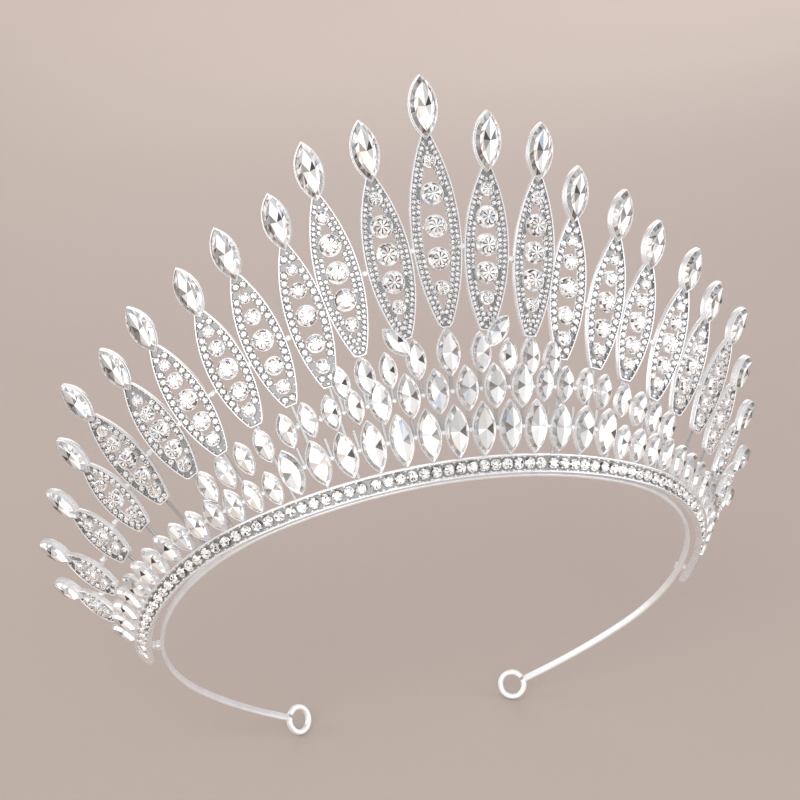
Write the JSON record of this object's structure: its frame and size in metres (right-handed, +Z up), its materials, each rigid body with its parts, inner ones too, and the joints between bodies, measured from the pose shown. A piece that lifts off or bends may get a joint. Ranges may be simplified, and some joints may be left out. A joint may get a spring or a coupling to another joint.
{
  "type": "bridal tiara",
  "caption": "Half-crown tiara: openwork petals with navette and round crystals on a stone-set base strip, carried by a springy open headband that ends in ring eyes.",
  "frame": {"origin": "centre of the bounding box in plan, at the level of the lowest point of the two ring eyes, with the band tipped as it is worn", "axes": "+Z up as worn, -Y to the front of the wearer, X across the head; the piece is the same on both sides of X = 0"},
  "size_m": [0.1954, 0.0614, 0.1909],
  "materials": {
    "cast_metal": "bright rhodium plate",
    "spring_strip": "polished plated spring strip",
    "crystal": "clear foil-backed crystal"
  },
  "bodies": {
    "root": {"headband": "spring_strip", "left_ring_eye": "spring_strip", "right_ring_eye": "spring_strip", "left_end_bracket": "spring_strip", "right_end_bracket": "spring_strip", "strip_centre": "cast_metal", "strip_left": "cast_metal", "strip_right": "cast_metal", "strip_stones_centre": "crystal", "strip_stones_left": "crystal", "strip_stones_right": "crystal", "cups_row_1": "cast_metal", "cups_row_2": "cast_metal", "cups_row_3": "cast_metal", "lattice_bars": "cast_metal", "navettes_row_1": "crystal", "navettes_row_2": "crystal", "navettes_row_3": "crystal", "petal_links": "cast_metal", "petal_0": "cast_metal", "petal_left_1": "cast_metal", "petal_left_2": "cast_metal", "petal_left_3": "cast_metal", "petal_left_4": "cast_metal", "petal_left_5": "cast_metal", "petal_left_6": "cast_metal", "petal_left_7": "cast_metal", "petal_left_8": "cast_metal", "petal_left_9": "cast_metal", "petal_left_10": "cast_metal", "petal_left_11": "cast_metal", "petal_left_12": "cast_metal", "petal_right_1": "cast_metal", "petal_right_2": "cast_metal", "petal_right_3": "cast_metal", "petal_right_4": "cast_metal", "petal_right_5": "cast_metal", "petal_right_6": "cast_metal", "petal_right_7": "cast_metal", "petal_right_8": "cast_metal", "petal_right_9": "cast_metal", "petal_right_10": "cast_metal", "petal_right_11": "cast_metal", "petal_right_12": "cast_metal", "top_navettes": "crystal", "large_round_stones": "crystal", "small_round_stones": "crystal", "pave_centre": "crystal", "pave_left_inner": "crystal", "pave_right_inner": "crystal", "pave_left_outer": "crystal", "pave_right_outer": "crystal"}
  },
  "joints": []
}
